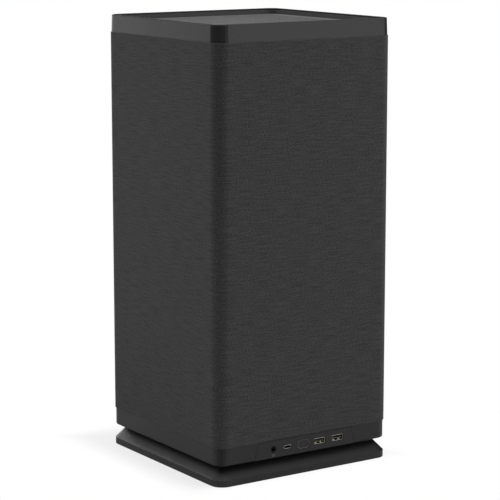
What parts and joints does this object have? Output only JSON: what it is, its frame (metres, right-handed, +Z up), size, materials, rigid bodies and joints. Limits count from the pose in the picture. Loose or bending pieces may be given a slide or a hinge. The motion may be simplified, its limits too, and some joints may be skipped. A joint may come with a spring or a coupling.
{
  "type": "desktop computer tower",
  "caption": "Square, fabric-wrapped desktop computer tower on a plinth, with a vented top, a lift-off sleeve and front ports at its foot.",
  "frame": {"origin": "on the floor, under the middle of the plinth", "axes": "+Z up, front face with the ports towards -Y, +X to the right as seen from the front"},
  "size_m": [0.206, 0.206, 0.4452],
  "materials": {
    "satin_plastic": "moulded ABS, fine satin texture, near black",
    "matt_plastic": "moulded glass-filled nylon, matt black",
    "foot_rubber": "moulded rubber, matt",
    "lead_rubber": "extruded PVC sheath, semi matt",
    "bare_steel": "nickel-plated sheet steel",
    "chassis_steel": "black powder-coated sheet steel, fine texture",
    "panel_paint": "dark grey powder-coated perforated steel",
    "fin_aluminium": "stamped aluminium, mill finish",
    "circuit_board": "black solder mask over glass-fibre board",
    "cloth": "charcoal plain-weave polyester with slubs along the weft"
  },
  "bodies": {
    "chassis": {"base_plinth": "satin_plastic", "foot_front_left": "foot_rubber", "foot_front_right": "foot_rubber", "foot_rear_left": "foot_rubber", "foot_rear_right": "foot_rubber", "plinth_screw_front_left": "bare_steel", "plinth_screw_front_right": "bare_steel", "plinth_screw_rear_left": "bare_steel", "plinth_screw_rear_right": "bare_steel", "bottom_band": "satin_plastic", "port_insert": "satin_plastic", "port_board": "circuit_board", "usb_a_left_socket": "bare_steel", "usb_a_right_socket": "bare_steel", "usb_c_socket": "bare_steel", "headset_jack": "matt_plastic", "power_switch": "matt_plastic", "floor_plate": "chassis_steel", "upright_front_left": "chassis_steel", "upright_front_right": "chassis_steel", "upright_rear_left": "chassis_steel", "upright_rear_right": "chassis_steel", "port_deck": "chassis_steel", "spine_plate": "chassis_steel", "top_tray": "chassis_steel", "mainboard": "circuit_board", "memory_module_1": "circuit_board", "memory_module_2": "circuit_board", "mainboard_ports": "bare_steel", "port_shield": "bare_steel", "drive_spreader": "fin_aluminium", "processor_cooler": "fin_aluminium", "cooler_fan_frame": "matt_plastic", "card_board": "circuit_board", "card_back_plate": "chassis_steel", "card_heatsink": "fin_aluminium", "card_shroud": "matt_plastic", "card_bracket": "bare_steel", "riser_ribbon": "matt_plastic", "supply_case": "chassis_steel", "supply_core": "circuit_board", "supply_fan_frame": "matt_plastic", "supply_guard": "bare_steel", "mains_inlet": "matt_plastic", "mains_lead": "lead_rubber", "top_fan_frame": "matt_plastic"},
    "button": {"power_button": "satin_plastic"},
    "cooler_fan": {"cooler_fan_rotor": "matt_plastic"},
    "card_fan_lower": {"card_fan_rotor_lower": "matt_plastic"},
    "card_fan_upper": {"card_fan_rotor_upper": "matt_plastic"},
    "supply_fan": {"supply_fan_rotor": "matt_plastic"},
    "top_fan": {"top_fan_rotor": "matt_plastic"},
    "sleeve": {"sleeve_front": "matt_plastic", "sleeve_right": "matt_plastic", "sleeve_rear": "matt_plastic", "sleeve_left": "matt_plastic", "cloth_wrap": "cloth"},
    "top_cover": {"top_rim": "satin_plastic", "top_panel": "panel_paint"}
  },
  "joints": [
    {"name": "power_button_press", "type": "slide", "parent": "chassis", "child": "button", "axis": [0, 1, 0], "range_m": [0, 0.001], "stiffness_N_per_m": 800, "springref_m": -0.0005},
    {"name": "sleeve_lift", "type": "slide", "parent": "chassis", "child": "sleeve", "axis": [0, 0, 1], "range_m": [0, 0.392]},
    {"name": "top_cover_lift", "type": "slide", "parent": "sleeve", "child": "top_cover", "axis": [0, 0, 1], "range_m": [0, 0.04]},
    {"name": "top_fan_spin", "type": "hinge", "parent": "chassis", "child": "top_fan", "pos_m": [0, 0, 0.41], "axis": [0, 0, 1], "continuous": true},
    {"name": "cooler_fan_spin", "type": "hinge", "parent": "chassis", "child": "cooler_fan", "pos_m": [0.034, 0, 0.173], "axis": [1, 0, 0], "continuous": true},
    {"name": "supply_fan_spin", "type": "hinge", "parent": "chassis", "child": "supply_fan", "pos_m": [0.014, 0, 0.309], "axis": [1, 0, 0], "continuous": true},
    {"name": "card_fan_lower_spin", "type": "hinge", "parent": "chassis", "child": "card_fan_lower", "pos_m": [-0.08, 0, 0.149], "axis": [-1, 0, 0], "continuous": true},
    {"name": "card_fan_upper_spin", "type": "hinge", "parent": "chassis", "child": "card_fan_upper", "pos_m": [-0.08, 0, 0.283], "axis": [-1, 0, 0], "continuous": true}
  ]
}
